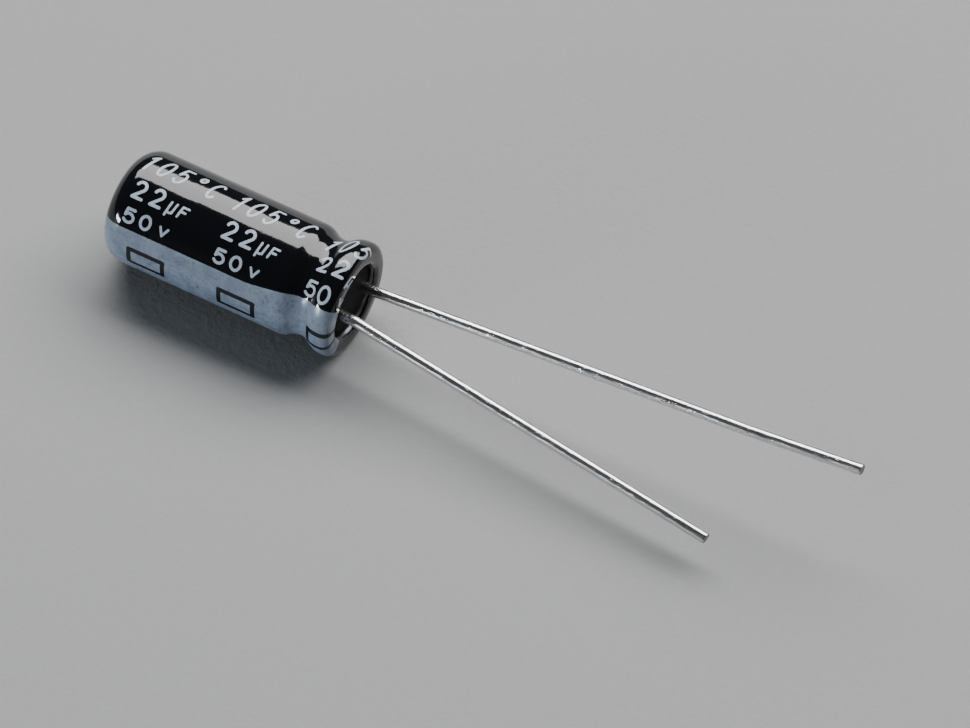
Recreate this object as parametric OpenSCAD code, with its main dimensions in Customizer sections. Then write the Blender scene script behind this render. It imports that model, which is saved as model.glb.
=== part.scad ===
// Radial-lead electrolytic capacitor, lying on its side.
// The origin is the middle of the seating plane, at the end where the leads come out.
// +X runs along the axis towards the leads, and +Z is up.

/* [Can] */
// Outer diameter of the drawn can
can_d = 5; // [4.6:0.1:5.6]
// Length of the can, from its flat top to the front of its rolled rim
can_l = 11.4; // [10.4:0.1:14]
// Thickness of the can's wall and top
can_wall = 0.24; // [0.16:0.01:0.28]
// Outer radius of the drawn corner round the top
can_corner_r = 0.97; // [0.5:0.01:1.1]

/* [Rolled bead and rim] */
// Distance from the seating plane back to the middle of the bead
bead_back = 1.67; // [1.6:0.01:1.9]
// Depth of the bead
bead_depth = 0.32; // [0.15:0.01:0.4]
// Radius of the bead's valley
bead_valley_r = 0.98; // [0.8:0.01:1.05]
// Radius of the two shoulders beside the valley
bead_shoulder_r = 0.9; // [0.7:0.01:0.95]
// How much the rim is wider than the can, in radius
rim_flare = 0.07; // [0:0.01:0.1]
// Outer radius of the rim's curl
curl_r = 0.3; // [0.28:0.01:0.36]
// Diameter of the opening that the curled lip leaves
lip_d = 3.56; // [3.4:0.02:3.7]

/* [Sleeve] */
// Thickness of the shrunk sleeve
sleeve_t = 0.11; // [0.06:0.01:0.15]
// Diameter of the opening that the sleeve leaves on the flat top
sleeve_top_d = 2.7; // [2.2:0.1:2.9]
// Angle that the sleeve's front edge is shrunk round the rolled lip
sleeve_lip_turn = 50; // [20:1:70]
// Depth of the small flat under the rim, where the part rests
rest_flat = 0.02; // [0.01:0.01:0.03]

/* [Rubber seal] */
// Length of the seal
seal_l = 2.5; // [2.4:0.1:2.9]
// Height of the raised middle of the seal's outer face
seal_pad_h = 0.06; // [0.02:0.01:0.1]
// Diameter of that raised middle
seal_pad_d = 3; // [2.8:0.05:3.2]

/* [Leads] */
// Diameter of the tinned wire
wire_d = 0.5; // [0.4:0.01:0.6]
// Distance between the two leads where they leave the seal
lead_pitch = 2; // [1.8:0.05:2.2]
// How far the pair of leads is turned about the axis, as the part lies
lead_roll = -6; // [-20:1:20]
// Distance from the seating plane to the bend near the root
root_bend_x = 0.25; // [0.2:0.05:1]
// Inner length between the two halves of a root bend
bend_gap = 0.1; // [0.1:0.05:0.5]
// Radius of every bend, to the middle of the wire
bend_r = 1; // [0.8:0.1:2]
// Length of the cathode lead past its root bend
cathode_run = 18.48; // [10:0.01:22]
// Angle of the cathode lead's root bend
cathode_bend_angle = 7.08; // [2:0.02:10]
// Side that the cathode lead bends to, round its wire
cathode_side_angle = 215; // [180:1:270]
// Length of the anode lead between its root bend and its second bend
anode_run = 18.18; // [12:0.01:24]
// Angle of the anode lead's root bend
anode_bend_angle = 5.68; // [2:0.02:10]
// Side that the anode lead bends to, round its wire
anode_side_angle = 85; // [0:1:120]
// Length of the anode lead past its second bend
anode_tip_run = 5.46; // [3:0.01:8]
// Angle of the anode lead's second bend
anode_tip_bend_angle = 1.32; // [0.5:0.02:5]
// Side that the anode lead's second bend goes to
anode_tip_side_angle = 43; // [0:1:120]

/* [Tabs] */
// Diameter of the round boss that each lead is welded to
boss_d = 1; // [0.8:0.05:1.1]
// Distance from the seating plane back to the weld
weld_back = 1.1; // [0.9:0.05:1.4]
// Length of the weld's taper from wire to boss
weld_l = 0.25; // [0.1:0.05:0.4]
// Length of the boss behind the seal, before it is pressed flat
boss_tail = 0.12; // [0.05:0.01:0.2]
// Gap between the pressed neck and the winding
neck_gap = 0.05; // [0.02:0.01:0.1]
// Length over which the boss is pressed flat
press_l = 0.35; // [0.25:0.05:0.5]
// Thickness of the flat paddle
paddle_t = 0.18; // [0.12:0.01:0.22]
// Length of the flat paddle inside the winding
paddle_l = 6.2; // [4:0.1:6.8]

/* [Winding] */
// Thickness of the anode foil, with its oxide
anode_foil_t = 0.1; // [0.08:0.01:0.12]
// Thickness of the cathode foil
cathode_foil_t = 0.05; // [0.03:0.01:0.07]
// Thickness of each paper separator
paper_t = 0.05; // [0.03:0.01:0.06]
// Gap between the winding and the inside of the can's wall, at the tabs
wall_gap = 0.1; // [0.05:0.01:0.3]
// Gap between the winding and the inside of the can's top, along the axis
top_gap = 0.05; // [0.05:0.05:0.6]
// How far the paper reaches past the foil on each side
paper_margin = 0.3; // [0.1:0.05:0.5]
// Thickness of the tape that holds the winding shut
tape_t = 0.04; // [0.02:0.01:0.06]
// Width of that tape, along the axis
tape_w = 5; // [3:0.1:6]

/* [Hidden] */
$fn = 64;

// Radii of the can, and places along the axis
can_r = can_d / 2;
rim_r = can_r + rim_flare;
rim_x = -sleeve_t;
top_x = rim_x - can_l;
seal_x = rim_x - can_wall;
seal_back_x = seal_x - seal_l;
wire_r = wire_d / 2;
boss_r = boss_d / 2;
lip_r = lip_d / 2;

// The bead's two sides turn by these angles and reach this far from its middle
bead_sum_r = bead_valley_r + bead_shoulder_r;
can_side_angle = acos(1 - bead_depth / bead_sum_r);
rim_side_angle = acos(1 - (bead_depth + rim_flare) / bead_sum_r);
can_side_reach = bead_sum_r * sin(can_side_angle);
rim_side_reach = bead_sum_r * sin(rim_side_angle);

// Where the turned sections start, round the axis from the bottom
turn_from = 45;

// Places of the tab's stages behind the seal
boss_end_x = seal_back_x - boss_tail;
paddle_x = boss_end_x - press_l;
neck_lap = 0.1;
paper_x = paddle_x - neck_lap - neck_gap;

// The winding steps round by this angle, and the paddles lift the turns outside them over this window
wind_step_angle = 10;
paddle_half_angle = 30;
paddle_fade_angle = 30;
wind_pitch = anode_foil_t + cathode_foil_t + 2 * paper_t;
core_r = lead_pitch / 2 - anode_foil_t - paddle_t / 2 - wind_pitch;
wind_room = can_r - can_wall - wall_gap - tape_t - paddle_t - core_r;
wind_end = wind_step_angle * floor((wind_room / wind_pitch - 1) * 360 / wind_step_angle);
wind_out_r = core_r + wind_pitch * (wind_end / 360 + 1) + paddle_t;
anode_paddle_at = 360;
cathode_paddle_at = 180;
foil_start = 4 * wind_step_angle;
anode_foil_short = 9 * wind_step_angle;
cathode_foil_short = 3 * wind_step_angle;
tape_lap = 6 * wind_step_angle;
tape_past = 25 * wind_step_angle;
tape_ramp = 3 * wind_step_angle;

// The winding reaches back to where its widest turn meets the can's round inner corner, less the gap
corner_in = max(0, wind_out_r - (can_r - can_corner_r));
corner_x = top_x + can_corner_r - sqrt((can_corner_r - can_wall) ^ 2 - corner_in ^ 2);
paper_w = paper_x - corner_x - top_gap;

aluminium = [0.80, 0.81, 0.83];
etched_foil = [0.55, 0.56, 0.58];
plain_foil = [0.72, 0.73, 0.75];
paper = [0.84, 0.80, 0.70];
tinned = [0.78, 0.78, 0.80];

function polar(r, angle) = r * [cos(angle), sin(angle)];

// Everything within the can's outer surface, in section, at a depth below that surface.
// X is the radius here and Y is the place along the axis.
module within(depth) {
    barrel_from = top_x + can_corner_r;
    barrel_to = -bead_back - can_side_reach;
    rim_from = -bead_back + rim_side_reach;
    rim_to = rim_x - curl_r;
    shoulder_r = bead_shoulder_r - depth;
    difference() {
        union() {
            translate([0, top_x + depth]) square([can_r - can_corner_r, can_corner_r]);
            translate([can_r - can_corner_r, barrel_from]) circle(r = can_corner_r - depth);
            translate([0, barrel_from]) square([can_r - depth, barrel_to - barrel_from]);
            translate([can_r - bead_shoulder_r, barrel_to]) shoulder(shoulder_r);
            polygon([
                [0, barrel_to],
                [can_r - bead_shoulder_r, barrel_to],
                [can_r - bead_shoulder_r, barrel_to] + polar(shoulder_r, can_side_angle),
                [rim_r - bead_shoulder_r, rim_from] + polar(shoulder_r, -rim_side_angle),
                [rim_r - bead_shoulder_r, rim_from],
                [0, rim_from]
            ]);
            translate([rim_r - bead_shoulder_r, rim_from]) mirror([0, 1]) shoulder(shoulder_r);
            translate([0, rim_from]) square([rim_r - depth, rim_to - rim_from]);
            translate([rim_r - curl_r, rim_to]) circle(r = curl_r - depth);
            translate([0, rim_to - curl_r]) square([rim_r - curl_r, 2 * curl_r - depth]);
        }
        translate([can_r - bead_depth + bead_valley_r, -bead_back]) circle(r = bead_valley_r + depth);
    }
}

// A quarter round beside the bead
module shoulder(r) {
    intersection() {
        circle(r = r);
        square(r);
    }
}

// The part of a section between two places along the axis, out to a radius
module stretch(from, to, r) {
    translate([0, from]) square([r, to - from]);
}

// Turns a section, drawn as radius and place along the axis, into a solid round +X
module turned() {
    rotate([turn_from, 0, 0]) rotate([0, 90, 0]) rotate_extrude() children();
}

// Puts a piece at one of the two leads: 1 is the anode's side and -1 the cathode's
module at_lead(which) {
    rotate([lead_roll, 0, 0]) translate([0, which * lead_pitch / 2, 0]) children();
}

// A round rod along X between two places
module rod(r, from, to) {
    translate([from, 0, 0]) rotate([0, 90, 0]) cylinder(r = r, h = to - from);
}

module can() {
    color(aluminium) turned() {
        difference() {
            within(0);
            within(can_wall);
            stretch(seal_x, rim_x + can_wall, lip_r + can_wall);
        }
        // The rolled lip, a half round whose outer half lies in the rim's front
        translate([lip_r + can_wall, seal_x]) intersection() {
            circle(r = can_wall);
            translate([-can_wall, 0]) square([2 * can_wall, can_wall]);
        }
    }
}

module sleeve() {
    color([0.03, 0.03, 0.05]) difference() {
        turned() {
            difference() {
                within(-sleeve_t);
                within(0);
                stretch(top_x - 2 * sleeve_t, top_x + sleeve_t, sleeve_top_d / 2);
                stretch(rim_x - sleeve_t, rim_x + 2 * sleeve_t, lip_r + can_wall);
            }
            shrunk_edge();
        }
        translate([top_x, -can_r, rest_flat - rim_r - sleeve_t - can_r]) cube([can_l + can_r, can_d, can_r]);
    }
}

// The sleeve's front edge, which follows the rolled lip round
module shrunk_edge() {
    reach = 2 * (can_wall + sleeve_t);
    translate([lip_r + can_wall, seal_x]) intersection() {
        difference() {
            circle(r = can_wall + sleeve_t);
            circle(r = can_wall);
        }
        polygon([[0, 0], polar(reach, 90), polar(reach, 90 + sleeve_lip_turn)]);
    }
}

// What a lead and its tab take out of the seal
module lead_way(which) {
    at_lead(which) {
        rod(wire_r, -weld_back, seal_pad_h);
        weld_taper();
        rod(boss_r, seal_back_x - boss_tail, -weld_back - weld_l);
    }
}

module rubber_seal() {
    color([0.07, 0.07, 0.07]) difference() {
        turned() {
            intersection() {
                within(can_wall);
                stretch(seal_back_x, seal_x, rim_r);
            }
            polygon([
                [0, seal_x],
                [seal_pad_d / 2 + seal_pad_h, seal_x],
                [seal_pad_d / 2, seal_x + seal_pad_h],
                [0, seal_x + seal_pad_h]
            ]);
        }
        lead_way(1);
        lead_way(-1);
    }
}

// A wire made as a bender makes it, along +X. Each step is [feed, side, angle]: it feeds a straight
// length, then bends by the angle towards a side, which is counted round the wire from +Y.
module formed_wire(steps, i = 0) {
    if (i < len(steps)) {
        rod(wire_r, 0, steps[i][0]);
        translate([steps[i][0], 0, 0]) rotate([steps[i][1], 0, 0]) {
            if (steps[i][2] > 0)
                translate([0, bend_r, 0]) rotate([0, 0, -90])
                    rotate_extrude(angle = steps[i][2]) translate([bend_r, 0]) circle(r = wire_r);
            translate([0, bend_r, 0]) rotate([0, 0, steps[i][2]]) translate([0, -bend_r, 0])
                rotate([-steps[i][1], 0, 0]) formed_wire(steps, i + 1);
        }
    }
}

// Where a lead starts, at its weld, with no roll of its own
module from_weld(which) {
    at_lead(which) translate([-weld_back, 0, 0]) rotate([-lead_roll, 0, 0]) children();
}

module anode_lead() {
    color(tinned) from_weld(1) formed_wire([
        [weld_back + root_bend_x, anode_side_angle, anode_bend_angle / 2],
        [bend_gap, anode_side_angle, anode_bend_angle / 2],
        [anode_run, anode_tip_side_angle, anode_tip_bend_angle],
        [anode_tip_run, 0, 0]
    ]);
}

module cathode_lead() {
    color(tinned) from_weld(-1) formed_wire([
        [weld_back + root_bend_x, cathode_side_angle, cathode_bend_angle / 2],
        [bend_gap, cathode_side_angle, cathode_bend_angle / 2],
        [cathode_run, 0, 0]
    ]);
}

// The weld's taper from the wire to the boss
module weld_taper() {
    translate([-weld_back - weld_l, 0, 0]) rotate([0, 90, 0]) cylinder(r1 = boss_r, r2 = wire_r, h = weld_l);
}

// 1 at a paddle's middle, fading to 0 past its edges, for an angle away from that middle
function lift_at(angle) =
    let (away = abs(angle - 360 * round(angle / 360)))
    away <= paddle_half_angle ? 1
    : away >= paddle_half_angle + paddle_fade_angle ? 0
    : (1 + cos(180 * (away - paddle_half_angle) / paddle_fade_angle)) / 2;

// How far a paddle lifts a layer. A layer that lies inside the paddle is lifted one turn later.
function lift(turn, paddle_at, inside) =
    turn > paddle_at - 180 + inside * 360 ? paddle_t * lift_at(turn - paddle_at) : 0;

// Radius of a layer's face: its height in the stack, and whether each paddle lies outside it
function wind_r(turn, height, in_anode, in_cathode) =
    core_r + wind_pitch * turn / 360 + height
    + lift(turn, anode_paddle_at, in_anode) + lift(turn, cathode_paddle_at, in_cathode);

// One strip's section, wound from one turn angle to another
module strip(from, to, height, t, in_anode, in_cathode) {
    polygon(concat(
        [for (a = [from:wind_step_angle:to]) polar(wind_r(a, height, in_anode, in_cathode), a)],
        [for (a = [to:-wind_step_angle:from]) polar(wind_r(a, height + t, in_anode, in_cathode), a)]
    ));
}

// Gives a section its width along the axis, starting at a place behind the seal and running back.
// The section is mirrored, so that the last half turn and its tape lie on the lower side.
module wound(start_x, width) {
    translate([start_x - width, 0, 0]) rotate([lead_roll, 0, 0]) rotate([90, 0, 90])
        linear_extrude(height = width) mirror([0, 1]) children();
}

module anode_foil() {
    color(etched_foil) wound(paper_x - paper_margin, paper_w - 2 * paper_margin)
        strip(foil_start, wind_end - anode_foil_short, 0, anode_foil_t, 1, 1);
}

module inner_paper() {
    color(paper) wound(paper_x, paper_w)
        strip(0, wind_end, anode_foil_t, paper_t, 0, 1);
}

module cathode_foil() {
    color(plain_foil) wound(paper_x - paper_margin, paper_w - 2 * paper_margin)
        strip(foil_start, wind_end - cathode_foil_short, anode_foil_t + paper_t, cathode_foil_t, 0, 1);
}

module outer_paper() {
    color(paper) wound(paper_x, paper_w)
        strip(0, wind_end, anode_foil_t + paper_t + cathode_foil_t, paper_t, 0, 0);
}

// Past the end of the strips the tape comes down by one turn of the winding
function tape_r(turn) =
    wind_r(turn, wind_pitch, 0, 0)
    - wind_pitch * min(1, max(0, (turn - wind_end) / tape_ramp));

module winding_tape() {
    from = wind_end - tape_lap;
    to = wind_end + tape_past;
    color([0.86, 0.78, 0.45]) wound(paper_x - (paper_w - tape_w) / 2, tape_w) polygon(concat(
        [for (a = [from:wind_step_angle:to]) polar(tape_r(a), a)],
        [for (a = [to:-wind_step_angle:from]) polar(tape_r(a) + tape_t, a)]
    ));
}

// The paddle's section lies on the outer face of its foil
module paddle(middle, height, in_anode) {
    strip(middle - paddle_half_angle, middle + paddle_half_angle, height, paddle_t, in_anode, 1);
}

// The boss from its weld to the paddle. Its tail is pressed flat between the paddle's two faces.
module pressed_boss(which, inner_r) {
    inner = inner_r - lead_pitch / 2;
    end_x = paddle_x - neck_lap;
    at_lead(which) intersection() {
        rod(boss_r, end_x, -weld_back - weld_l);
        mirror([0, which < 0 ? 1 : 0, 0]) translate([0, 0, -boss_d]) linear_extrude(height = 2 * boss_d)
            polygon([
                [0, -boss_d],
                [boss_end_x, -boss_d],
                [boss_end_x, -boss_r],
                [paddle_x, inner],
                [end_x, inner],
                [end_x, inner + paddle_t],
                [paddle_x, inner + paddle_t],
                [boss_end_x, boss_r],
                [boss_end_x, boss_d],
                [0, boss_d]
            ]);
    }
}

// A tab: the welded boss, its pressed neck and the flat paddle
module tab(which, middle, height, in_anode) {
    color(aluminium) {
        at_lead(which) weld_taper();
        pressed_boss(which, wind_r(middle, height, in_anode, 1));
        wound(paddle_x, paddle_l) paddle(middle, height, in_anode);
    }
}

module anode_tab() {
    tab(1, anode_paddle_at, anode_foil_t, 1);
}

module cathode_tab() {
    tab(-1, cathode_paddle_at, anode_foil_t + paper_t + cathode_foil_t, 0);
}

can();
sleeve();
rubber_seal();
anode_lead();
cathode_lead();
anode_tab();
cathode_tab();
anode_foil();
cathode_foil();
inner_paper();
outer_paper();
winding_tape();
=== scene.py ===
from math import acos, ceil, cos, degrees, hypot, pi, radians, sin

import bpy
import bmesh
from mathutils import Matrix, Vector


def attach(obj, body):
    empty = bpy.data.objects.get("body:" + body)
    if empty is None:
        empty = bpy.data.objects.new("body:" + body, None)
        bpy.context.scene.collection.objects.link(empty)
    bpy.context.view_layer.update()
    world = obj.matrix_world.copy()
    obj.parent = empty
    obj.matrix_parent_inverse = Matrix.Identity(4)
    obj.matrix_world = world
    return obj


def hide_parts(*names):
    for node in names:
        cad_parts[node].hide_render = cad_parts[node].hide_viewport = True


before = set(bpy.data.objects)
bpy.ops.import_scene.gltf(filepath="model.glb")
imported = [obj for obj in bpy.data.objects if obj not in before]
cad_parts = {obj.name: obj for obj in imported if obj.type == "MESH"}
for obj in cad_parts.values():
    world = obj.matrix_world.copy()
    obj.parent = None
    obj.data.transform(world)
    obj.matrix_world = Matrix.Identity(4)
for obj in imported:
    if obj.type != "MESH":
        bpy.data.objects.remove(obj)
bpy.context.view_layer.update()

# Lengths are in millimetres in this file and become metres when a mesh is made.
# The part lies along X with its leads towards +X. Angles round it count from +Y towards +Z.
mm = 0.001
print("frame loaded:", ", ".join(sorted(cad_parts)))


# Shader tools

class Socket:
    # One output of a node. Sums, differences and products with it add Math nodes.
    def __init__(self, finish, out):
        self.finish, self.out = finish, out

    def __add__(self, other):
        return self.finish.maths("ADD", self, other)

    def __sub__(self, other):
        return self.finish.maths("SUBTRACT", self, other)

    def __rsub__(self, other):
        return self.finish.maths("SUBTRACT", other, self)

    def __mul__(self, other):
        return self.finish.maths("MULTIPLY", self, other)

    __radd__ = __add__
    __rmul__ = __mul__


class Finish:
    # One material, built node by node
    def __init__(self, name):
        self.material = bpy.data.materials.new(name)
        self.material.use_nodes = True
        self.tree = self.material.node_tree
        self.tree.nodes.clear()
        print("finish:", name)

    def node(self, kind, settings=None, sockets=None, out=0):
        made = self.tree.nodes.new(kind)
        for key, value in (settings or {}).items():
            if key == "stops":
                ramp = made.color_ramp
                while len(ramp.elements) < len(value):
                    ramp.elements.new(1)
                for element, (place, colour) in zip(ramp.elements, value):
                    element.position, element.color = place, colour
            else:
                setattr(made, key, value)
        for key, value in (sockets or {}).items():
            if isinstance(value, Socket):
                self.tree.links.new(value.out, made.inputs[key])
            else:
                made.inputs[key].default_value = value
        return Socket(self, made.outputs[out]) if made.outputs else None

    def maths(self, operation, *values):
        return self.node("ShaderNodeMath", {"operation": operation}, dict(enumerate(values)))

    def place(self):
        # where a point is, in millimetres
        where = self.node("ShaderNodeTexCoord", out="Object")
        return self.stretched(where, (1 / mm, 1 / mm, 1 / mm))

    def stretched(self, place, by):
        return self.node("ShaderNodeVectorMath", {"operation": "MULTIPLY"}, {0: place, 1: by})

    def parts(self, place):
        split = self.node("ShaderNodeSeparateXYZ", None, {0: place}).out.node
        return [Socket(self, split.outputs[i]) for i in range(3)]

    def joined(self, x, y, z):
        return self.node("ShaderNodeCombineXYZ", None, {0: x, 1: y, 2: z})

    def noise(self, place, scale, detail=3.0, rough=0.5):
        return self.node("ShaderNodeTexNoise", {"noise_dimensions": "3D"},
                         {"Vector": place, "Scale": scale, "Detail": detail, "Roughness": rough})

    def step(self, value, low, high):
        # a soft step from 0 to 1 while the value goes from low to high
        return self.node("ShaderNodeMapRange", {"interpolation_type": "SMOOTHSTEP"},
                         {"Value": value, "From Min": low, "From Max": high, "To Min": 0.0, "To Max": 1.0})

    def blended(self, share, first, second):
        return self.node("ShaderNodeMix", {"data_type": "RGBA"}, {0: share, 6: first, 7: second}, 2)

    def bumped(self, height, depth, under=None):
        sockets = {"Height": height, "Distance": depth * mm, "Strength": 1.0}
        if under is not None:
            sockets["Normal"] = under
        return self.node("ShaderNodeBump", None, sockets)

    def surface(self, sockets):
        shader = self.node("ShaderNodeBsdfPrincipled", None, sockets)
        self.node("ShaderNodeOutputMaterial", None, {"Surface": shader})
        return self.material


def grey(value):
    return (value, value, value, 1)


# Mesh tools

def meshPiece(name, verts, faces, material, sharp=35):
    mesh = bpy.data.meshes.new(name)
    mesh.from_pydata([[c * mm for c in v] for v in verts], [], faces)
    mesh.validate()
    mesh.update()
    mesh.materials.append(material)
    mesh.shade_smooth()
    if sharp:
        mesh.set_sharp_from_angle(angle=radians(sharp))
    piece = bpy.data.objects.new(name, mesh)
    bpy.context.scene.collection.objects.link(piece)
    return piece


def outward(piece):
    # turns all faces of a closed piece outwards
    work = bmesh.new()
    work.from_mesh(piece.data)
    bmesh.ops.recalc_face_normals(work, faces=work.faces)
    work.to_mesh(piece.data)
    work.free()
    return piece


def curve(cx, cr, radius, start, end, count):
    # part of a round in the section: 0 degrees points away from the axis and 90 to the front
    steps = [radians(start + (end - start) * i / count) for i in range(count + 1)]
    return [(cx + radius * sin(a), cr + radius * cos(a)) for a in steps]


def revolved(name, section, count, material, wave):
    # A closed section of (x, r) turned round the X axis. The wave says how far a point moves away from it.
    verts, faces = [], []
    for k in range(count):
        a = 2 * pi * k / count
        for x, r in section:
            r += wave(x, r, a)
            verts.append((x, r * cos(a), r * sin(a)))
    n = len(section)
    for k in range(count):
        here, there = k * n, (k + 1) % count * n
        for i in range(n):
            j = (i + 1) % n
            faces.append((here + i, here + j, there + j, there + i))
    return outward(meshPiece(name, verts, faces, material))


# The body's section, as the solids have it

body = {
    "canRadius": 2.5, "rimRadius": 2.57, "front": -0.11, "length": 11.4, "wall": 0.24, "corner": 0.97,
    "beadBack": 1.67, "beadDepth": 0.32, "valley": 0.98, "shoulder": 0.9, "curl": 0.3, "lip": 1.78,
    "film": 0.11, "filmTopOpening": 1.35, "filmLipTurn": 50.0, "restDown": 2.66, "roundSteps": 256,
    "cornerSteps": 22, "barrelSteps": 24, "shoulderSteps": 14, "valleySteps": 26, "curlSteps": 16,
}
topX = body["front"] - body["length"]
reach = body["valley"] + body["shoulder"]
canSide = degrees(acos(1 - body["beadDepth"] / reach))
rimSide = degrees(acos(1 - (body["beadDepth"] + body["rimRadius"] - body["canRadius"]) / reach))
barrelEnd = -body["beadBack"] - reach * sin(radians(canSide))
rimStart = -body["beadBack"] + reach * sin(radians(rimSide))
curlX = body["front"] - body["curl"]


def outline(depth, fineness=1.0):
    # the body's outside from the flat top to the front, at a depth under the can's surface
    b = body

    def count(steps):
        return max(4, int(b[steps] * fineness))

    points = curve(topX + b["corner"], b["canRadius"] - b["corner"], b["corner"] - depth, -90, 0,
                   count("cornerSteps"))
    barrelStart = topX + b["corner"]
    points += [(barrelStart + (barrelEnd - barrelStart) * i / b["barrelSteps"], b["canRadius"] - depth)
               for i in range(1, b["barrelSteps"])]
    points += curve(barrelEnd, b["canRadius"] - b["shoulder"], b["shoulder"] - depth, 0, canSide,
                    count("shoulderSteps"))
    valley = curve(-b["beadBack"], b["canRadius"] - b["beadDepth"] + b["valley"], -b["valley"] - depth,
                   canSide, -rimSide, count("valleySteps"))
    points += valley[1:-1]
    points += curve(rimStart, b["rimRadius"] - b["shoulder"], b["shoulder"] - depth, -rimSide, 0,
                    count("shoulderSteps"))
    points += [((rimStart + curlX) / 2, b["rimRadius"] - depth)]
    points += curve(curlX, b["rimRadius"] - b["curl"], b["curl"] - depth, 0, 90, count("curlSteps"))
    return points


# Finishes

# In a look, a noise is its scale over a millimetre, its detail and its roughness.
# A step is where it starts and ends, a stretch is for x, y and z, and bumps are in millimetres.

filmLook = {
    "black": (0.0022, 0.0023, 0.0034, 1), "dust": (0.09, 0.09, 0.09, 1), "dustShare": 0.35,
    "stripe": (0.245, 0.29, 0.365, 1), "stripeDark": (0.07, 0.09, 0.13, 1),
    "cloudShare": 0.35, "fleckShare": 0.6,
    "stripeFrom": 151.4, "stripeTo": 217.0, "stripeRise": 7.6, "riseStep": (-4.6, -1.6),
    "edgeStep": (-0.35, 0.35), "ragged": 1.3, "raggedNoise": (7.0, 4.0, 0.65),
    "cloudNoise": (1.5, 5.0, 0.62), "cloudStep": (0.36, 0.66),
    "fleckNoise": (9.0, 4.0, 0.7), "fleckStep": (0.46, 0.66),
    "dustNoise": (26.0, 1.0), "dustStep": (0.77, 0.82),
    "smearStretch": (0.35, 1, 1), "smearNoise": (1.1, 3.0), "smearMiddle": 0.4,
    "pullStretch": (0.45, 1, 1), "pullNoise": (0.75, 1.5), "peelNoise": (5.0, 2.0),
    "rough": 0.075, "smearRough": 0.06, "stripeRough": 0.26, "fleckRough": 0.1, "ior": 1.56,
    "pullBump": 0.035, "peelBump": 0.0022, "fleckHeight": 0.35,
}


def filmFinish():
    look, f = filmLook, Finish("printedFilm")
    place = f.place()
    x, y, z = f.parts(place)
    middle = radians((look["stripeFrom"] + look["stripeTo"]) / 2)
    half = (look["stripeTo"] - look["stripeFrom"]) / 2
    towards = y * cos(middle) + z * sin(middle)
    across = z * cos(middle) - y * sin(middle)
    angle = f.maths("ARCTAN2", across, towards) * (180 / pi)
    # near the rim the stripe's upper edge runs higher
    drawnIn = f.step(x, *look["riseStep"]) * look["stripeRise"]
    inside = f.maths("MINIMUM", angle + half + drawnIn, half - angle)
    ragged = (f.noise(place, *look["raggedNoise"]) - 0.5) * look["ragged"]
    inStripe = f.step(inside + ragged, *look["edgeStep"])
    cloud = f.step(f.noise(place, *look["cloudNoise"]), *look["cloudStep"])
    fleck = f.step(f.noise(place, *look["fleckNoise"]), *look["fleckStep"])
    dark = cloud * look["cloudShare"] + fleck * look["fleckShare"]
    ink = f.blended(dark, look["stripe"], look["stripeDark"])
    dust = f.step(f.noise(place, *look["dustNoise"]), *look["dustStep"])
    bare = f.blended(dust * look["dustShare"], look["black"], look["dust"])
    smear = f.noise(f.stretched(place, look["smearStretch"]), *look["smearNoise"])
    rough = look["rough"] + (smear - look["smearMiddle"]) * look["smearRough"]
    rough = rough + inStripe * (look["stripeRough"] - look["rough"]) + fleck * inStripe * look["fleckRough"]
    pull = f.bumped(f.noise(f.stretched(place, look["pullStretch"]), *look["pullNoise"]), look["pullBump"])
    peel = f.noise(place, *look["peelNoise"]) + fleck * inStripe * look["fleckHeight"]
    return f.surface({"Base Color": f.blended(inStripe, bare, ink), "Roughness": rough, "IOR": look["ior"],
                      "Normal": f.bumped(peel, look["peelBump"], pull)})


inkLook = {
    "pale": (0.40, 0.46, 0.53, 1), "worn": (0.27, 0.32, 0.38, 1), "wornShare": 0.7,
    "wearNoise": (6.0, 4.0, 0.65), "wearStep": (0.42, 0.7), "fineNoise": (14.0, 2.0),
    "rough": 0.3, "wornRough": 0.08, "ior": 1.5, "bump": 0.0015,
}


def inkFinish():
    look, f = inkLook, Finish("palePrint")
    place = f.place()
    wear = f.step(f.noise(place, *look["wearNoise"]), *look["wearStep"])
    colour = f.blended(wear * look["wornShare"], look["pale"], look["worn"])
    rough = look["rough"] + wear * look["wornRough"]
    return f.surface({"Base Color": colour, "Roughness": rough, "IOR": look["ior"],
                      "Normal": f.bumped(f.noise(place, *look["fineNoise"]), look["bump"])})


markLook = {
    "black": (0.004, 0.005, 0.008, 1), "speck": (0.05, 0.06, 0.08, 1), "speckShare": 0.3,
    "speckNoise": (12.0, 3.0, 0.6), "speckStep": (0.6, 0.75), "fineNoise": (6.0, 2.0),
    "rough": 0.2, "speckRough": 0.1, "ior": 1.4, "bump": 0.0015,
}


def markFinish():
    # the black film that shows through the stripe
    look, f = markLook, Finish("bareFilmMarks")
    place = f.place()
    speck = f.step(f.noise(place, *look["speckNoise"]), *look["speckStep"])
    colour = f.blended(speck * look["speckShare"], look["black"], look["speck"])
    rough = look["rough"] + speck * look["speckRough"]
    return f.surface({"Base Color": colour, "Roughness": rough, "IOR": look["ior"],
                      "Normal": f.bumped(f.noise(place, *look["fineNoise"]), look["bump"])})


canLook = {
    "bright": (0.86, 0.87, 0.89, 1), "dim": (0.66, 0.67, 0.70, 1), "cloudShare": 0.5, "lineShare": 0.3,
    # the dark colour on the next line and its step along x are painted shade on the lip, standing in for a
    # dark reflection
    "stainAndPaintedShade": (0.05, 0.05, 0.052, 1), "stainAndShadeStep": (-0.9, -0.6), "stainAndShadeShare": 0.85,
    "lines": 24, "lineNoise": (1.0, 3.0, 0.7), "cloudNoise": (1.2, 4.0),
    "rough": 0.24, "lineRough": 0.16, "cloudRough": 0.08, "bump": 0.004,
}


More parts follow.
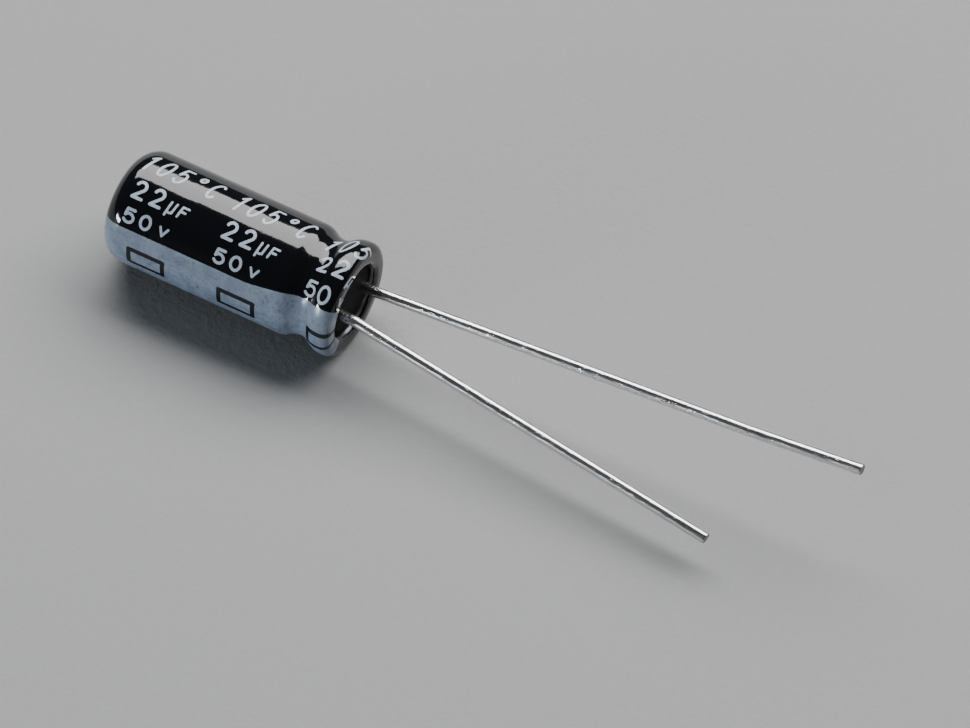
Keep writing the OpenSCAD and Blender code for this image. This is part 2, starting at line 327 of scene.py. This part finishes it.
def canFinish():
    # drawn aluminium, with fine lines round the axis; the rolled lip is painted dark, a painted shade that
    # stands in for its dark reflection
    look, f = canLook, Finish("drawnAluminium")
    place = f.place()
    x, y, z = f.parts(place)
    radius = f.maths("SQRT", y * y + z * z)
    lines = f.noise(f.joined(x * look["lines"], radius * look["lines"], 0.0), *look["lineNoise"])
    cloud = f.noise(place, *look["cloudNoise"])
    drawn = f.blended(cloud * look["cloudShare"] + lines * look["lineShare"], look["bright"], look["dim"])
    # from x -0.9 mm to the front the can is painted dark: painted shade for the lip's dark reflection
    colour = f.blended(f.step(x, *look["stainAndShadeStep"]) * look["stainAndShadeShare"], drawn, look["stainAndPaintedShade"])
    rough = look["rough"] + lines * look["lineRough"] + cloud * look["cloudRough"]
    return f.surface({"Base Color": colour, "Metallic": 1.0, "Roughness": rough,
                      "Normal": f.bumped(lines, look["bump"])})


wireLook = {
    "bright": (0.74, 0.725, 0.71, 1), "dim": (0.46, 0.455, 0.45, 1), "dullShare": 0.5, "nickShare": 0.4,
    "scratchStretch": (0.5, 11, 11), "scratchNoise": (1.0, 4.0, 0.7), "scratchStep": (0.35, 0.75),
    "nickStretch": (2.5, 9, 9), "nickNoise": (1.0, 3.0, 0.6), "nickStep": (0.62, 0.72),
    "cloudStretch": (0.5, 1, 1), "cloudNoise": (2.2, 4.0, 0.6), "dullStep": (0.5, 0.72),
    "rough": 0.14, "scratchRough": 0.15, "dullRough": 0.1, "scratchBump": 0.0035, "nickBump": 0.004,
}


def wireFinish():
    # bright tin with fine scratches along the wire and small dull spots
    look, f = wireLook, Finish("tinnedWire")
    place = f.place()
    scratch = f.noise(f.stretched(place, look["scratchStretch"]), *look["scratchNoise"])
    nick = f.step(f.noise(f.stretched(place, look["nickStretch"]), *look["nickNoise"]), *look["nickStep"])
    cloud = f.noise(f.stretched(place, look["cloudStretch"]), *look["cloudNoise"])
    dull = f.step(cloud, *look["dullStep"])
    colour = f.blended(dull * look["dullShare"] + nick * look["nickShare"], look["bright"], look["dim"])
    rough = look["rough"] + f.step(scratch, *look["scratchStep"]) * look["scratchRough"]
    rough = rough + dull * look["dullRough"]
    fine = f.bumped(scratch, look["scratchBump"])
    return f.surface({"Base Color": colour, "Metallic": 1.0, "Roughness": rough,
                      "Normal": f.bumped(cloud - nick, look["nickBump"], fine)})


cutLook = {
    "dark": (0.16, 0.155, 0.15, 1), "light": (0.34, 0.33, 0.32, 1),
    "tornStretch": (6, 16, 16), "tornNoise": (1.0, 3.0, 0.6), "rough": 0.4, "tornRough": 0.2, "bump": 0.01,
}


def cutFinish():
    # the nipped end of a wire: dull, torn steel
    look, f = cutLook, Finish("cutWire")
    torn = f.noise(f.stretched(f.place(), look["tornStretch"]), *look["tornNoise"])
    return f.surface({"Base Color": f.blended(torn, look["dark"], look["light"]), "Metallic": 1.0,
                      "Roughness": look["rough"] + torn * look["tornRough"],
                      "Normal": f.bumped(torn, look["bump"])})


rubberLook = {
    "black": (0.003, 0.003, 0.0033, 1), "bloom": (0.011, 0.011, 0.012, 1),
    "bloomShare": 0.5, "grainShare": 0.2,
    "grainNoise": (18.0, 4.0, 0.65), "bloomNoise": (2.4, 4.0, 0.6), "bloomStep": (0.45, 0.75),
    "rough": 0.66, "grainRough": 0.2, "shine": 0.12, "bump": 0.012,
}


def rubberFinish():
    look, f = rubberLook, Finish("sealRubber")
    place = f.place()
    grain = f.noise(place, *look["grainNoise"])
    bloom = f.step(f.noise(place, *look["bloomNoise"]), *look["bloomStep"])
    colour = f.blended(bloom * look["bloomShare"] + grain * look["grainShare"], look["black"], look["bloom"])
    return f.surface({"Base Color": colour, "Roughness": look["rough"] + grain * look["grainRough"],
                      "Specular IOR Level": look["shine"], "Normal": f.bumped(grain, look["bump"])})


tabLook = {
    "bright": (0.84, 0.84, 0.85, 1), "dim": (0.64, 0.64, 0.66, 1), "dragShare": 0.6,
    "dragStretch": (0.8, 9, 9), "dragNoise": (1.0, 4.0, 0.6), "dentNoise": (4.0, 3.0),
    "rough": 0.26, "dragRough": 0.2, "bump": 0.006,
}


def tabFinish():
    look, f = tabLook, Finish("pressedAluminium")
    place = f.place()
    drag = f.noise(f.stretched(place, look["dragStretch"]), *look["dragNoise"])
    dent = f.noise(place, *look["dentNoise"])
    colour = f.blended(drag * look["dragShare"], look["bright"], look["dim"])
    rough = look["rough"] + drag * look["dragRough"]
    return f.surface({"Base Color": colour, "Metallic": 1.0, "Roughness": rough,
                      "Normal": f.bumped(drag + dent, look["bump"])})


foilLook = {
    "etched": {"light": (0.56, 0.56, 0.58, 1), "dark": (0.36, 0.36, 0.38, 1), "rough": 0.5, "bump": 0.006},
    "plain": {"light": (0.74, 0.74, 0.76, 1), "dark": (0.58, 0.58, 0.60, 1), "rough": 0.34, "bump": 0.003},
    "etchNoise": (26.0, 3.0, 0.7), "rollStretch": (14, 0.6, 0.6), "rollNoise": (1.0, 3.0),
    "stainNoise": (1.4, 4.0), "stainAndShadeStep": (0.42, 0.7), "etchShare": 0.4, "stainAndShadeShare": 0.4,
    "etchRough": 0.18, "rollRough": 0.06, "rollHeight": 0.5,
}


def foilFinish(name, kind):
    # foil with its etching: pits, and the faint lines that the rolling left
    look, own, f = foilLook, foilLook[kind], Finish(name)
    place = f.place()
    etch = f.noise(place, *look["etchNoise"])
    rolled = f.noise(f.stretched(place, look["rollStretch"]), *look["rollNoise"])
    stainAndPaintedShade = f.step(f.noise(place, *look["stainNoise"]), *look["stainAndShadeStep"])
    colour = f.blended(etch * look["etchShare"] + stainAndPaintedShade * look["stainAndShadeShare"], own["light"], own["dark"])
    rough = own["rough"] + etch * look["etchRough"] + rolled * look["rollRough"]
    return f.surface({"Base Color": colour, "Metallic": 1.0, "Roughness": rough,
                      "Normal": f.bumped(etch + rolled * look["rollHeight"], own["bump"])})


paperLook = {
    "light": (0.70, 0.62, 0.45, 1), "dark": (0.46, 0.38, 0.25, 1), "fibreShare": 0.5, "wetShare": 0.4,
    "fibreStretch": (3.0, 14, 14), "fibreNoise": (1.0, 5.0, 0.7),
    "crossStretch": (16, 3.0, 3.0), "crossNoise": (1.0, 4.0, 0.65),
    "wetNoise": (0.9, 4.0), "wetStep": (0.4, 0.7), "rough": 0.62, "wetShine": 0.28, "bump": 0.01,
}


def paperFinish():
    # kraft paper, soaked, with its fibres
    look, f = paperLook, Finish("soakedPaper")
    place = f.place()
    fibre = f.noise(f.stretched(place, look["fibreStretch"]), *look["fibreNoise"])
    crossed = f.noise(f.stretched(place, look["crossStretch"]), *look["crossNoise"])
    wet = f.step(f.noise(place, *look["wetNoise"]), *look["wetStep"])
    colour = f.blended(fibre * look["fibreShare"] + wet * look["wetShare"], look["light"], look["dark"])
    return f.surface({"Base Color": colour, "Roughness": look["rough"] - wet * look["wetShine"],
                      "Normal": f.bumped(fibre + crossed, look["bump"])})


tapeLook = {
    "light": (0.68, 0.52, 0.20, 1), "dark": (0.50, 0.36, 0.12, 1), "cloudShare": 0.6,
    "creaseStretch": (1, 4, 4), "creaseNoise": (1.0, 3.0), "cloudNoise": (2.0, 4.0), "cloudStep": (0.4, 0.7),
    "rough": 0.22, "creaseRough": 0.12, "bump": 0.008,
}


def tapeFinish():
    look, f = tapeLook, Finish("windingTape")
    place = f.place()
    crease = f.noise(f.stretched(place, look["creaseStretch"]), *look["creaseNoise"])
    cloud = f.step(f.noise(place, *look["cloudNoise"]), *look["cloudStep"])
    colour = f.blended(cloud * look["cloudShare"], look["light"], look["dark"])
    return f.surface({"Base Color": colour, "Roughness": look["rough"] + crease * look["creaseRough"],
                      "Normal": f.bumped(crease, look["bump"])})


# Sleeve

# The film's two cut edges are rounded a little and stray from a true circle.
# Each wave is its size, how often it comes round the axis, and where it starts.
film = {
    "edge": 0.03, "lipSteps": 12, "insideLipSteps": 8, "insideFineness": 0.5,
    "topReach": 0.05, "topBack": 0.03, "lipReach": 0.13,
    "topWaves": [(0.05, 3, 0.6), (0.03, 7, 2.0), (0.0175, 16, 0.0)],
    "lipWaves": [(0.012, 4, 1.0), (0.0084, 11, 0.0), (0.006, 23, 2.0)],
}


def lipPoint(radius, turn):
    # a point round the rolled lip, which turns from its front inwards
    x, r = body["front"] - body["wall"], body["lip"] + body["wall"]
    return (x + radius * cos(turn), r - radius * sin(turn))


def lipCurve(radius, turn, count):
    return [lipPoint(radius, radians(turn * i / count)) for i in range(count + 1)]


def sleeveSection():
    b, edge, top = body, film["edge"], body["filmTopOpening"]
    outer, inner, turn = b["wall"] + b["film"], b["wall"], b["filmLipTurn"]
    start = [(topX - b["film"] + edge, top), (topX - b["film"], top + edge)]
    outside = outline(-b["film"]) + lipCurve(outer, turn, film["lipSteps"])[:-1]
    inside = outline(0.0, film["insideFineness"]) + lipCurve(inner, turn, film["insideLipSteps"])[:-1]
    cut = [lipPoint(outer, radians(turn) - edge / outer), lipPoint(outer - edge, radians(turn)),
           lipPoint(inner, radians(turn))]
    return start + outside + cut + inside[::-1] + [(topX, top)]


def waves(kind, a):
    return sum(size * sin(count * a + start) for size, count, start in film[kind])


def shrunkEdge(x, r, a):
    # only points on the film's cut edges are moved
    moved = 0.0
    if x < topX + 0.001 and r < body["filmTopOpening"] + film["topReach"]:
        moved += waves("topWaves", a) - film["topBack"]
    if x > body["front"] - body["wall"] and r < body["lip"] + film["lipReach"]:
        moved += waves("lipWaves", a)
    return moved


def pressFlat(piece):
    # the small flat under the rim, where the part rests
    for vertex in piece.data.vertices:
        vertex.co.z = max(vertex.co.z, -body["restDown"] * mm)
    return piece


sleeve = revolved("filmSleeve", sleeveSection(), body["roundSteps"], filmFinish(), shrunkEdge)
pressFlat(sleeve)
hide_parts("sleeve")
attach(sleeve, "root")
print("sleeve made")


# Can

shell = {"flatRings": (0.3, 0.6, 0.9, 1.2), "lipTurn": 90, "lipSteps": 10, "insideFineness": 0.5}


def canSection():
    wall = body["wall"]
    outside = [(topX, 0.0)] + [(topX, r) for r in shell["flatRings"]] + outline(0.0)
    inside = outline(wall, shell["insideFineness"])
    return outside + lipCurve(wall, shell["lipTurn"], shell["lipSteps"]) + inside[::-1] + [(topX + wall, 0.0)]


def openRevolved(name, section, count, material):
    # a section whose first and last points lie on the axis
    verts, faces = [], []
    inner = section[1:-1]
    n = len(inner)
    for k in range(count):
        a = 2 * pi * k / count
        verts += [(x, r * cos(a), r * sin(a)) for x, r in inner]
    first, last = len(verts), len(verts) + 1
    verts += [(section[0][0], 0, 0), (section[-1][0], 0, 0)]
    for k in range(count):
        here, there = k * n, (k + 1) % count * n
        faces += [(here + i, here + i + 1, there + i + 1, there + i) for i in range(n - 1)]
        faces += [(first, here, there), (last, there + n - 1, here + n - 1)]
    return outward(meshPiece(name, verts, faces, material))


can = openRevolved("drawnCan", canSection(), body["roundSteps"], canFinish())
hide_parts("can")
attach(can, "root")
print("can made")


# Leads

# The steps are a feed, the side that the wire then bends to, and the bend's angle.
# The end rings are how far each lies behind the far end, and its share of the radius.
leads = {
    "wire": 0.25, "bend": 1.0, "weldBack": 1.1, "pitch": 2.0, "roll": -6.0, "round": 40,
    "ringStep": 0.5, "bendSteps": 4, "slantSide": (0.6, 0.8), "cutRings": 4, "sharp": 40,
    "endRings": [(0.09, 1.0), (0.032, 1.0), (0.014, 0.985), (0.004, 0.95), (0.002, 0.88), (0.004, 0.6),
                 (0.006, 0.3)],
    "anode_lead": {"which": 1, "slant": 0.05,
                   "steps": [(1.35, 85, 2.84), (0.1, 85, 2.84), (18.18, 43, 1.32), (5.46, 0, 0)]},
    "cathode_lead": {"which": -1, "slant": 0.04,
                     "steps": [(1.35, 215, 3.54), (0.1, 215, 3.54), (18.48, 0, 0)]},
}


def turnX(angle):
    return Matrix.Rotation(radians(angle), 3, "X")


def leadPath(which, steps):
    # rings along the wire, each with its middle and its own frame: the wire is fed and bent in steps
    frameNow = Matrix.Identity(3)
    aside = turnX(leads["roll"]) @ Vector((0, which * leads["pitch"] / 2, 0))
    middle = Vector((-leads["weldBack"], 0, 0)) + aside
    rings = [(middle.copy(), frameNow.copy())]
    for feed, side, angle in steps:
        count = max(1, ceil(feed / leads["ringStep"]))
        ahead = frameNow @ Vector((1, 0, 0))
        rings += [(middle + ahead * feed * i / count, frameNow.copy()) for i in range(1, count + 1)]
        middle = middle + ahead * feed
        if angle > 0:
            centre = middle + frameNow @ turnX(side) @ Vector((0, leads["bend"], 0))
            start, count = frameNow.copy(), leads["bendSteps"]
            for i in range(1, count + 1):
                part = Matrix.Rotation(radians(angle * i / count), 3, "Z")
                turned = start @ turnX(side) @ part @ turnX(-side)
                middle = centre + turned @ turnX(side) @ Vector((0, -leads["bend"], 0))
                rings.append((middle.copy(), turned))
            frameNow = rings[-1][1]
    return rings


def madeLead(name, lead, material, cut):
    # the far end is a nipped face, a little slanted, with a worn edge
    rings = leadPath(lead["which"], lead["steps"])
    n, wire = leads["round"], leads["wire"]
    sideY, sideZ = leads["slantSide"]
    verts, faces = [], []
    endMiddle, endFrame = rings.pop()
    profile = [(middle, turned, 1.0, 0.0) for middle, turned in rings]
    for i, (back, size) in enumerate(leads["endRings"]):
        slant = lead["slant"] if i else 0.0
        profile.append((endMiddle - endFrame @ Vector((back, 0, 0)), endFrame, size, slant))
    for middle, turned, size, slant in profile:
        for k in range(n):
            a = 2 * pi * k / n
            y, z = wire * size * cos(a), wire * size * sin(a)
            back = slant * (wire - (y * sideY + z * sideZ))
            verts.append(tuple(middle + turned @ Vector((-back, y, z))))
    for i in range(len(profile) - 1):
        for k in range(n):
            j = (k + 1) % n
            faces.append((i * n + k, i * n + j, (i + 1) * n + j, (i + 1) * n + k))
    faces.append(tuple(range(n - 1, -1, -1)))
    last = (len(profile) - 1) * n
    faces.append(tuple(range(last, last + n)))
    made = outward(meshPiece(name, verts, faces, material, leads["sharp"]))
    made.data.materials.append(cut)
    cutFrom = len(verts) - leads["cutRings"] * n
    for face in made.data.polygons:
        if min(face.vertices) >= cutFrom:
            face.material_index = 1
    return made


tin, cut = wireFinish(), cutFinish()
for name, node in (("anodeWire", "anode_lead"), ("cathodeWire", "cathode_lead")):
    made = madeLead(name, leads[node], tin, cut)
    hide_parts(node)
    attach(made, "root")
    print("lead made:", name)


# Print on the sleeve

# Starts, widths, gaps and lines are along the part. From and to are degrees round it, top and foot of a row.
marks = {
    "proud": 0.004, "lift": 0.0003, "lifts": 7, "sunk": 0.003, "pitch": 4.52, "repeats": 3, "step": 0.05,
    "caps": (12, 35, 60),
    "tempFrom": 64.5, "tempTo": 90.0, "tempStart": -11.06, "tempWide": 0.6, "tempGap": 0.81,
    "tempLine": 0.125, "tempSlant": 0.28,
    "valueFrom": 101.0, "valueTo": 121.0, "valueStart": -10.63, "valueWide": 0.68, "valueGap": 0.9,
    "valueLine": 0.145,
    "unitFrom": 108.0, "unitStart": -8.9, "unitWide": 0.5, "unitGap": 0.55,
    "unitLine": 0.105, "unitSlant": 0.08,
    "voltFrom": 130.0, "voltTo": 146.0, "voltStart": -10.6, "voltWide": 0.66, "voltGap": 0.81,
    "voltLine": 0.135,
    "voltUnit": {"start": -8.82, "wide": 0.54, "from": 134.0, "to": 144.5, "line": 0.11475},
    "rowShift": -7.5, "shiftFrom": -3.4, "shiftOver": 2.0,
    "lastShift": -0.13, "lastWider": 0.039, "lastTaller": 1.5,
    "boxStart": -9.95, "boxEnd": -8.26, "boxFrom": 172.0, "boxTo": 191.5, "boxLine": 0.24, "boxSide": 0.21,
}

# the sleeve's outside from the barrel to its front edge, with the length along it
skin = [p for p in outline(-body["film"], 2.0) if p[0] >= topX + body["corner"] * 0.4]
skin += lipCurve(body["wall"] + body["film"], body["filmLipTurn"], 16)
lengths = [0.0]
for (x0, r0), (x1, r1) in zip(skin, skin[1:]):
    lengths.append(lengths[-1] + hypot(x1 - x0, r1 - r0))
barrelAt = next(i for i, p in enumerate(skin) if p[0] >= topX + body["corner"] - 1e-6)
startAlong = skin[barrelAt][0] - lengths[barrelAt]
endAlong = startAlong + lengths[-1]
degreeLength = (body["canRadius"] + body["film"]) * pi / 180


def onSkin(along, around, proud):
    # The point at a length along the sleeve and a length round it, and the way that it faces there.
    # Along counts as X does on the barrel.
    length = min(max(along - startAlong, 0.0), lengths[-1] - 1e-6)
    i = 0
    while lengths[i + 1] < length:
        i += 1
    (x0, r0), (x1, r1) = skin[i], skin[i + 1]
    share = (length - lengths[i]) / (lengths[i + 1] - lengths[i])
    tx, tr = x1 - x0, r1 - r0
    size = hypot(tx, tr)
    nx, nr = -tr / size, tx / size
    x, r = x0 + tx * share + nx * proud, r0 + tr * share + nr * proud
    a = radians(around / degreeLength)
    return Vector((x, r * cos(a), r * sin(a))), Vector((nx, nr * cos(a), nr * sin(a)))


class Print:
    # ink laid on the sleeve in strokes, each a thin closed slab
    def __init__(self):
        self.verts, self.faces, self.normals, self.strokes = [], [], [], 0

    def stroke(self, line, wide):
        points = [line[0]]
        for (u0, v0), (u1, v1) in zip(line, line[1:]):
            count = max(1, ceil(hypot(u1 - u0, v1 - v0) / marks["step"]))
            points += [(u0 + (u1 - u0) * i / count, v0 + (v1 - v0) * i / count) for i in range(1, count + 1)]
        points = [p for p in points if p[0] < endAlong - wide / 2]
        if len(points) < 2:
            return
        half = wide / 2
        rows = []
        for i, (u, v) in enumerate(points):
            (ua, va), (ub, vb) = points[max(0, i - 1)], points[min(len(points) - 1, i + 1)]
            size = hypot(ub - ua, vb - va) or 1.0
            rows.append((u, v, (ub - ua) / size, (vb - va) / size, half))
        caps = [(half * cos(radians(c)), half * sin(radians(c))) for c in marks["caps"]]
        u, v, tu, tv, _ = rows[0]
        head = [(u - tu * past, v - tv * past, tu, tv, side) for past, side in caps]
        u, v, tu, tv, _ = rows[-1]
        tail = [(u + tu * past, v + tv * past, tu, tv, side) for past, side in caps[::-1]]
        rows = head + rows + tail
        proud = marks["proud"] + marks["lift"] * (self.strokes % marks["lifts"])
        self.strokes += 1
        first = len(self.verts)
        for u, v, tu, tv, h in rows:
            for side, up in ((-1, proud), (0, proud), (1, proud), (1, -marks["sunk"]), (-1, -marks["sunk"])):
                p, n = onSkin(u - tv * h * side, v + tu * h * side, up)
                self.verts.append(p)
                self.normals.append(n if up > 0 else -n)
        for i in range(len(rows) - 1):
            a, b = first + 5 * i, first + 5 * (i + 1)
            self.faces += [(a + k, a + (k + 1) % 5, b + (k + 1) % 5, b + k) for k in range(5)]
        end = first + 5 * (len(rows) - 1)
        self.faces += [tuple(first + k for k in range(4, -1, -1)), tuple(end + k for k in range(5))]

    def piece(self, name, material):
        made = outward(meshPiece(name, self.verts, self.faces, material, 0))
        made.data.normals_split_custom_set_from_vertices([tuple(n) for n in self.normals])
        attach(made, "root")
        return made


def bow(cx, cy, rx, ry, start, end, count=18):
    # part of an oval in a figure's own box, which is 1 wide and 1 high
    steps = [radians(start + (end - start) * i / count) for i in range(count + 1)]
    return [(cx + rx * cos(a), cy + ry * sin(a)) for a in steps]


figures = {
    "0": [bow(0.5, 0.5, 0.44, 0.5, 90, 450, 30)],
    "1": [[(0.28, 0.76), (0.62, 1.0)], [(0.62, 1.0), (0.62, 0.0)]],
    "2": [bow(0.5, 0.71, 0.4, 0.29, 165, -35) + [(0.08, 0.0)], [(0.08, 0.0), (0.94, 0.0)]],
    "5": [[(0.86, 1.0), (0.2, 1.0)], [(0.2, 1.0), (0.12, 0.52)],
          [(0.12, 0.52)] + bow(0.48, 0.34, 0.44, 0.34, 128, -150)],
    "o": [bow(0.5, 0.8, 0.24, 0.15, 90, 450, 20)],
    "C": [bow(0.55, 0.5, 0.45, 0.5, 48, 312, 26)],
    "u": [[(0.2, 1.0), (0.08, -0.3)], [(0.14, 0.4)] + bow(0.45, 0.26, 0.32, 0.26, 190, 330),
          [(0.9, 1.0), (0.76, 0.05)]],
    "F": [[(0.1, 0.0), (0.26, 1.0)], [(0.26, 1.0), (1.0, 1.0)], [(0.2, 0.54), (0.82, 0.54)]],
    "v": [[(0.05, 1.0), (0.45, 0.0)], [(0.45, 0.0), (0.95, 1.0)]],
}


def rowShift(along):
    # near the rim the rows run a little higher, as the film was drawn in there
    t = min(1.0, max(0.0, (along - marks["shiftFrom"]) / marks["shiftOver"]))
    return marks["rowShift"] * t * t * (3 - 2 * t)


def figure(target, kind, start, wide, fromDeg, toDeg, line, slant=0.0):
    tall = (toDeg - fromDeg) * degreeLength - line
    foot = toDeg * degreeLength - line / 2
    for drawn in figures[kind]:
        laid = []
        for gx, gy in drawn:
            u = start + line / 2 + gx * (wide - line) + slant * gy * tall
            laid.append((u, foot - gy * tall + rowShift(u) * degreeLength))
        target.stroke(laid, line)


def row(target, text, start, wide, gap, fromDeg, toDeg, line, slant=0.0):
    for i, kind in enumerate(text):
        figure(target, kind, start + i * gap, wide, fromDeg, toDeg, line, slant)


pale, dark = Print(), Print()
m = marks
for k in range(m["repeats"]):
    shift = k * m["pitch"]
    # on the rim the film shrank less, so the last figures are a little larger
    last = k == m["repeats"] - 1
    back, wider, taller = (m["lastShift"], m["lastWider"], m["lastTaller"]) if last else (0.0, 0.0, 0.0)
    row(pale, "105oC", m["tempStart"] + shift, m["tempWide"], m["tempGap"], m["tempFrom"], m["tempTo"],
        m["tempLine"], m["tempSlant"])
    row(pale, "22", m["valueStart"] + shift, m["valueWide"], m["valueGap"], m["valueFrom"] - 2 * taller,
        m["valueTo"] - 2 * taller, m["valueLine"])
    row(pale, "uF", m["unitStart"] + shift, m["unitWide"], m["unitGap"], m["unitFrom"], m["valueTo"],
        m["unitLine"], m["unitSlant"])
    row(pale, "50", m["voltStart"] + shift + back, m["voltWide"] + wider, m["voltGap"],
        m["voltFrom"] - taller, m["voltTo"] + taller, m["voltLine"])
    unit = m["voltUnit"]
    figure(pale, "v", unit["start"] + shift, unit["wide"], unit["from"], unit["to"], unit["line"])
    left, right = m["boxStart"] + shift, m["boxEnd"] + shift
    upper, lower = m["boxFrom"] * degreeLength, m["boxTo"] * degreeLength
    corners = [(left, upper), (right, upper), (right, lower), (left, lower), (left, upper)]
    for start, end, wide in zip(corners, corners[1:], [m["boxLine"]] + [m["boxSide"]] * 3):
        dark.stroke([start, end], wide)
pale.piece("paleFigures", inkFinish())
dark.piece("stripeBoxes", markFinish())
print("print made:", pale.strokes, "pale and", dark.strokes, "dark strokes")


# Finishes of the pieces that stay as the solids have them

etched, plain = foilFinish("etchedFoil", "etched"), foilFinish("plainFoil", "plain")
tab, paper = tabFinish(), paperFinish()
kept = {
    "rubber_seal": rubberFinish(), "anode_tab": tab, "cathode_tab": tab, "anode_foil": etched,
    "cathode_foil": plain, "inner_paper": paper, "outer_paper": paper, "winding_tape": tapeFinish(),
}
for node, material in kept.items():
    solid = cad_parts[node]
    solid.data.materials.clear()
    solid.data.materials.append(material)
print("kept solids finished:", len(kept))


# Floor and light

studio = {
    "floorDim": 0.27 * 0.93, "floorLight": 0.27 * 1.05, "floorNoise": (3.0, 4.0, 0.7), "floorRough": 0.75,
    "floorBump": 0.03, "floorDown": -2.66, "floorHalf": 3000.0,
    "keyUp": 480.0, "keyColour": (1, 1, 1, 1), "keyStrength": 8.5,
    "keyShape": [(-0.3, 0.3), (-0.1, 0.42), (0.3, 0.38), (0.6, 0.4), (1.03, 0.5), (1.15, 1.9), (0.3, 2.0),
                 (-0.6, 1.52), (-1.4, 0.9), (-1.0, 0.3), (-0.38, 0.3)],
    "fillAzimuth": -128.0, "fillRise": 8.0, "fillAway": 500.0, "fillSize": (0.2, 0.05), "fillPower": 1.9,
    "fillColour": (0.78, 0.89, 1.0), "world": 0.07, "worldColour": (0.93, 0.96, 1.0, 1),
}


def floorFinish():
    f = Finish("paleFloor")
    grain = f.noise(f.place(), *studio["floorNoise"])
    colour = f.blended(grain, grey(studio["floorDim"]), grey(studio["floorLight"]))
    return f.surface({"Base Color": colour, "Roughness": studio["floorRough"],
                      "Normal": f.bumped(grain, studio["floorBump"])})


def glowFinish(name, colour, strength):
    # an even glow all over
    f = Finish(name)
    glow = f.node("ShaderNodeEmission", None, {"Color": colour, "Strength": strength})
    f.node("ShaderNodeOutputMaterial", None, {"Surface": glow})
    return f.material


down, far = studio["floorDown"], studio["floorHalf"]
floor = meshPiece("floor", [(-far, -far, down), (far, -far, down), (far, far, down), (-far, far, down)],
                  [(0, 1, 2, 3)], floorFinish())
up = studio["keyUp"]
keyGlow = glowFinish("keyGlow", studio["keyColour"], studio["keyStrength"])
key = meshPiece("keyPanel", [(x * up, y * up, up) for x, y in studio["keyShape"]],
                [tuple(range(len(studio["keyShape"])))[::-1]], keyGlow)
key.visible_camera = False

azimuth, rise = radians(studio["fillAzimuth"]), radians(studio["fillRise"])
away = Vector((cos(azimuth) * cos(rise), sin(azimuth) * cos(rise), sin(rise)))
fill = bpy.data.lights.new("lowFill", "AREA")
fill.shape = "RECTANGLE"
fill.size, fill.size_y = studio["fillSize"]
fill.energy = studio["fillPower"]
fill.color = studio["fillColour"]
lamp = bpy.data.objects.new("lowFill", fill)
lamp.location = away * studio["fillAway"] * mm
lamp.rotation_euler = (-away).to_track_quat("-Z", "Y").to_euler()
bpy.context.scene.collection.objects.link(lamp)

world = bpy.data.worlds.new("studio")
world.use_nodes = True
background = world.node_tree.nodes["Background"]
background.inputs["Color"].default_value = studio["worldColour"]
background.inputs["Strength"].default_value = studio["world"]
bpy.context.scene.world = world
print("floor and light made")


# Camera, at the photo's angle

shot = {"azimuth": 29.8, "elevation": 52.0, "distance": 400.0, "target": (-5.5, 0, 0), "lens": 340.25,
        "aside": (-0.0260, 0.01211), "sensor": 36, "near": 0.02, "far": 20}
a, e = radians(shot["azimuth"]), radians(shot["elevation"])
back = Vector((sin(a) * cos(e), -cos(a) * cos(e), sin(e)))
right = Vector((cos(a), sin(a), 0))
above = back.cross(right)
view = bpy.data.cameras.new("camera")
view.lens, view.sensor_width = shot["lens"], shot["sensor"]
view.clip_start, view.clip_end = shot["near"], shot["far"]
camera = bpy.data.objects.new("camera", view)
camera.rotation_mode = "QUATERNION"
camera.location = (Vector(shot["target"]) + back * shot["distance"]) * mm
base = Matrix((right, above, back)).transposed().to_quaternion()
turn = Vector((0, 0, -1)).rotation_difference(Vector((*shot["aside"], -1)))
camera.rotation_quaternion = base @ turn.inverted()
bpy.context.scene.collection.objects.link(camera)
bpy.context.scene.camera = camera
print("camera set")

bpy.context.view_layer.update()
